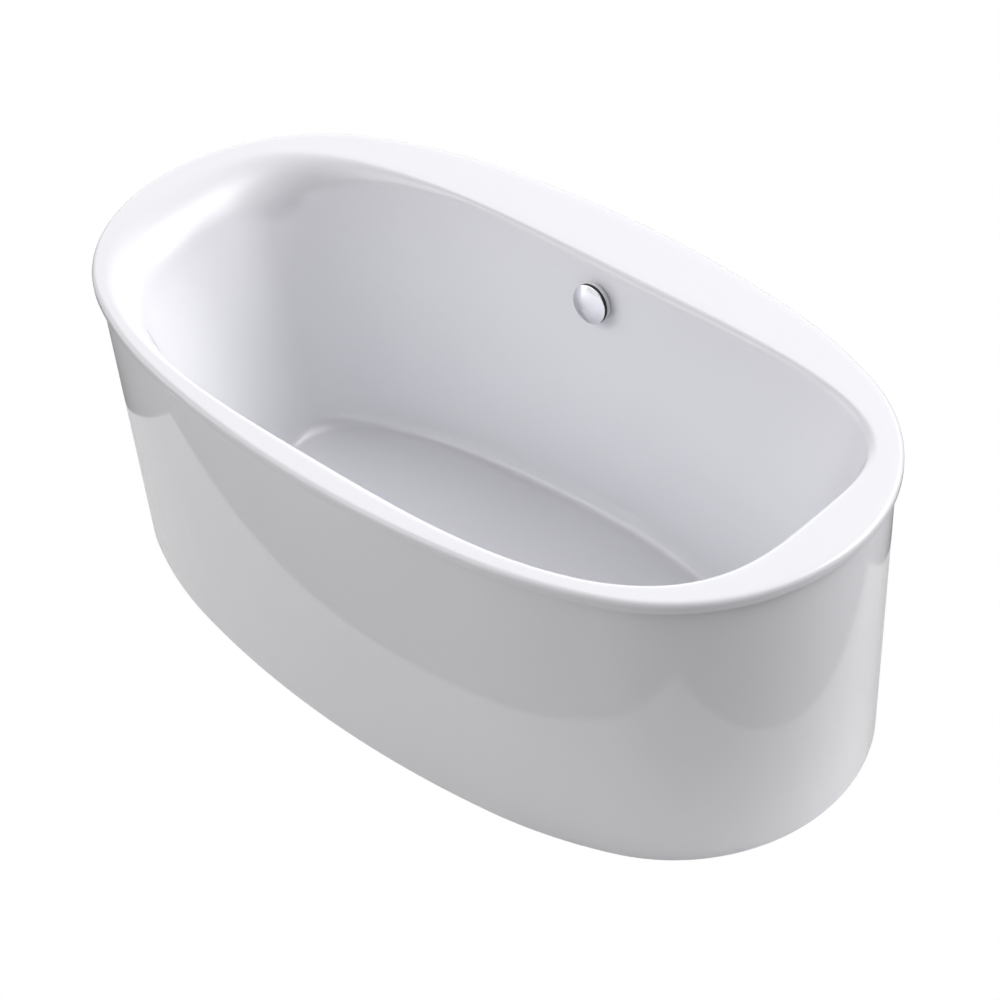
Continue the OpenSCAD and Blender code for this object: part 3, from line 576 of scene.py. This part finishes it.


# The overflow ring's front is painted black as painted shade under the knob cap; the front gasket's depth lies past
# its end, so it stays white.
for name, depth in (("overflow_ring", 0.0125), ("front_gasket", 0.1)):
    nodes[name].data.materials[0] = white_with_painted_shade(f"{name}_plastic", nodes[name], overflow_place, depth)


# ---- Overflow knob ----
def dome(radius, height, steps, base=0.0):
    """Points of a shallow dome's profile, from its axis to its edge."""
    ball = (radius ** 2 + height ** 2) / (2 * height)
    return [(radius * k / steps, base + height - ball + math.sqrt(ball ** 2 - (radius * k / steps) ** 2))
            for k in range(steps + 1)]


def make_knob():
    knob_r = 0.0385
    rim_at = 0.019
    edge = 0.0015
    height = 0.008
    skin = 0.0025
    outer = dome(knob_r - 0.0012, height - 0.0006, 28, rim_at + edge)
    rim = [(knob_r - 0.0012 + 0.0012 * math.sin(t), rim_at + edge - 0.0012 + 0.0012 * math.cos(t))
           for t in [math.pi / 2 * k / 8 for k in range(1, 9)]]
    inner = [(r, z - skin) for r, z in reversed(dome(knob_r - 0.002, height - 0.0006, 16, rim_at + edge))]
    profile = [*outer, *rim, (knob_r, rim_at + 0.0004), (knob_r - 0.0004, rim_at), (knob_r - 0.0017, rim_at),
               (knob_r - 0.002, rim_at + 0.0003), *[p for p in inner if p[0] > 0.0095],
               (0.009, rim_at + 0.004), (0.009, rim_at + 0.0003), (0.0087, rim_at), (0.0053, rim_at),
               (0.0051, rim_at + 0.0002), (0.0051, rim_at + 0.005), (0.0, rim_at + 0.005)]
    return lathe("overflow_knob_cap", profile, MATERIALS["chrome"], overflow_place, 256)


knob = place_piece(make_knob(), "knob", "chrome", "overflow_knob")

# ---- Stopper cap ----
cap_low, cap_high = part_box("stopper_cap")


def make_stopper():
    cap_r = (cap_high.x - cap_low.x) / 2
    edge = 0.0015
    height = cap_high.z - cap_low.z - edge
    outer = dome(cap_r - 0.001, height - 0.0004, 20, edge)
    rim = [(cap_r - 0.001 + 0.001 * math.sin(t), edge - 0.001 + 0.001 * math.cos(t))
           for t in [math.pi / 2 * k / 8 for k in range(1, 9)]]
    profile = [*outer, *rim, (cap_r, 0.0003), (cap_r - 0.0003, 0.0), (0.0, 0.0)]
    return lathe("stopper_dome", profile, MATERIALS["chrome"], Matrix.Translation((*drain_xy, cap_low.z)), 192)


stopper = place_piece(make_stopper(), "stopper", "chrome", "stopper_cap")

# ---- Edges of the carried-over nodes ----
BEVELS = {
    "overflow_ring": 0.0004, "drain_flange": 0.0005, "drain_shoe": 0.0008, "waste_tee": 0.0008,
    "slip_nuts": 0.0006, "overflow_body": 0.0008, "base_board": 0.0006, "weld_nuts": 0.0004,
    "jam_nuts": 0.0004, "rail_near": 0.0004, "rail_far": 0.0004, "cross_head": 0.0004,
    "cross_mid": 0.0004, "cross_foot": 0.0004, "tailpiece": 0.0003, "cable_glands": 0.0005,
    "skirt_brackets": 0.0004, "knob_spindle": 0.0003, "cable_crank": 0.0004, "lift_rocker": 0.0003,
}
for name, width in BEVELS.items():
    edges = nodes[name].modifiers.new("edges", "BEVEL")
    edges.width = width
    edges.segments = 2
    edges.limit_method = "ANGLE"
    edges.angle_limit = math.radians(40)
    edges.harden_normals = True


# ---- Floor, light and camera ----
SHEET_HALF_L, SHEET_HALF_W = 1.045, 0.65      # the white sheet that the bath stands on
FLOOR_HALF = 12.0
BACKDROP_R = 40.0
RAYS = ("camera", "diffuse", "glossy", "shadow", "transmission", "volume_scatter")
# azimuth (0 is in front, 90 at the foot end), elevation and strength of each soft lobe of the sky
LOBES = [(210, 8, 0.65), (240, 8, 1.55), (300, 8, 2.37), (150, 35, 6.40), (180, 35, 0.86), (210, 35, 0.84),
         (330, 35, 2.76), (135, 62, 2.00)]
LOBE_POWER = 14.0


def glow(name, strength, tint=(1.0, 1.0, 1.0)):
    material = bpy.data.materials.new(name)
    material.use_nodes = True
    tree = material.node_tree
    tree.nodes.clear()
    light = tree.nodes.new("ShaderNodeEmission")
    light.inputs["Color"].default_value = (*tint, 1.0)
    light.inputs["Strength"].default_value = strength
    out = tree.nodes.new("ShaderNodeOutputMaterial")
    tree.links.new(light.outputs["Emission"], out.inputs["Surface"])
    return material


def pale(name, tone):
    n = Nodes(name, (tone, tone, tone), 0.9)
    n.bsdf.inputs["Specular IOR Level"].default_value = 0.1
    return n.material


def stage_piece(name, points, faces, material, *rays):
    """A piece of the studio that only these kinds of ray meet."""
    piece = mesh_object(name, points, faces, material)
    for ray in RAYS:
        setattr(piece, f"visible_{ray}", ray in rays)
    return piece


def rectangle(half_l, half_w, z):
    return [(-half_l, -half_w, z), (half_l, -half_w, z), (half_l, half_w, z), (-half_l, half_w, z)]


def make_floor():
    """A white sheet on a duller floor. Both light the bath from below, and reflections show where the sheet ends."""
    around = [(k, k + 4, (k + 1) % 4 + 4, (k + 1) % 4) for k in range(4)]
    for name, z, sheet, floor, rays in (
            ("bounce", 0.0, pale("sheet", 0.9), pale("studio_floor", 0.6), ("diffuse", "shadow", "transmission")),
            ("glint", 0.001, glow("sheet_glint", SHEET_GLINT), glow("floor_glint", FLOOR_GLINT), ("glossy",))):
        inner, outer = rectangle(SHEET_HALF_L, SHEET_HALF_W, z), rectangle(FLOOR_HALF, FLOOR_HALF, z)
        stage_piece(f"sheet_{name}", inner, [(0, 1, 2, 3)], sheet, *rays)
        stage_piece(f"floor_{name}", inner + outer, around, floor, *rays)


def make_front_card():
    """A card in front of the bath, which only reflections meet: the knob shows it."""
    points = [(-6, -7, 0), (6, -7, 0), (6, -7, 2.5), (-6, -7, 2.5)]
    stage_piece("front_glint", points, [(0, 1, 2, 3)], glow("front_glint", 0.95), "glossy")


def make_scrim():
    """A net round the back of the skirt, where the light is strongest. Only the light meets it."""
    low, high = rim_ring(-0.10, 0.0), rim_ring(-0.10, 0.60)
    count = len(low)
    behind = [p[1] > (0.24 if p[0] > 0 else 0.0) for p in low]
    net = bpy.data.materials.new("net")
    net.use_nodes = True
    net.node_tree.nodes.clear()
    veil = net.node_tree.nodes.new("ShaderNodeBsdfTransparent")
    veil.inputs["Color"].default_value = (0.38, 0.38, 0.38, 1.0)
    out = net.node_tree.nodes.new("ShaderNodeOutputMaterial")
    net.node_tree.links.new(veil.outputs["BSDF"], out.inputs["Surface"])
    faces = [(k, (k + 1) % count, count + (k + 1) % count, count + k)
             for k in range(count) if behind[k] and behind[(k + 1) % count]]
    stage_piece("scrim", [*low, *high], faces, net, "diffuse", "shadow")


def make_backdrop():
    """A white sphere round everything, for the camera alone."""
    turns, rows = 64, 32
    profile = [(BACKDROP_R * math.sin(math.pi * k / rows), -BACKDROP_R * math.cos(math.pi * k / rows))
               for k in range(1, rows)]
    points = [(r * math.cos(2 * math.pi * j / turns), r * math.sin(2 * math.pi * j / turns), z)
              for r, z in profile for j in range(turns)]
    faces = [(k * turns + j, k * turns + (j + 1) % turns, (k + 1) * turns + (j + 1) % turns, (k + 1) * turns + j)
             for k in range(len(profile) - 1) for j in range(turns)]
    faces += [tuple(range(turns)), tuple(range(len(points) - turns, len(points)))]
    stage_piece("backdrop", points, faces, glow("backdrop", 1.0), "camera")


def make_sky():
    """Soft light with no edges: each lobe is strongest in its own direction and fades all round it."""
    world = bpy.data.worlds.new("studio")
    bpy.context.scene.world = world
    world.use_nodes = True
    world.cycles_visibility.camera = False
    tree = world.node_tree
    to_eye = tree.nodes.new("ShaderNodeNewGeometry").outputs["Incoming"]
    total = None
    for azimuth, elevation, strength in LOBES:
        a, e = math.radians(azimuth), math.radians(elevation)
        facing = tree.nodes.new("ShaderNodeVectorMath")
        facing.operation = "DOT_PRODUCT"
        facing.inputs[1].default_value = (-math.sin(a) * math.cos(e), math.cos(a) * math.cos(e), -math.sin(e))
        tree.links.new(to_eye, facing.inputs[0])
        value = facing.outputs["Value"]
        for operation, number in (("MAXIMUM", 0.0), ("POWER", LOBE_POWER), ("MULTIPLY", strength)):
            step = tree.nodes.new("ShaderNodeMath")
            step.operation = operation
            step.inputs[1].default_value = number
            tree.links.new(value, step.inputs[0])
            value = step.outputs[0]
        if total:
            step = tree.nodes.new("ShaderNodeMath")
            tree.links.new(total, step.inputs[0])
            tree.links.new(value, step.inputs[1])
            value = step.outputs[0]
        total = value
    tree.links.new(total, tree.nodes["Background"].inputs["Strength"])
    tree.nodes["Background"].inputs["Color"].default_value = (1.0, 1.0, 1.0, 1.0)


SHEET_GLINT = 0.62
FLOOR_GLINT = 0.18
make_floor()
make_front_card()
make_scrim()
make_backdrop()
make_sky()
bpy.context.scene.view_settings.view_transform = "Standard"


def make_camera():
    azimuth, elevation, roll = math.radians(46.57), math.radians(41.30), math.radians(4.49)
    distance = 4.08746
    target = Vector((0.0799, -0.03697, rim_z / 2))
    back = Vector((math.sin(azimuth) * math.cos(elevation), -math.cos(azimuth) * math.cos(elevation),
                   math.sin(elevation)))
    right = Vector((math.cos(azimuth), math.sin(azimuth), 0))
    up = back.cross(right)
    tilted_right = right * math.cos(roll) - up * math.sin(roll)
    tilted_up = right * math.sin(roll) + up * math.cos(roll)
    data = bpy.data.cameras.new("camera")
    data.sensor_width = 36.0
    data.lens = 81.48
    camera = bpy.data.objects.new("camera", data)
    bpy.context.scene.collection.objects.link(camera)
    turn = Matrix((tilted_right, tilted_up, back)).transposed().to_4x4()
    camera.matrix_world = Matrix.Translation(target + back * distance) @ turn
    bpy.context.scene.camera = camera


make_camera()
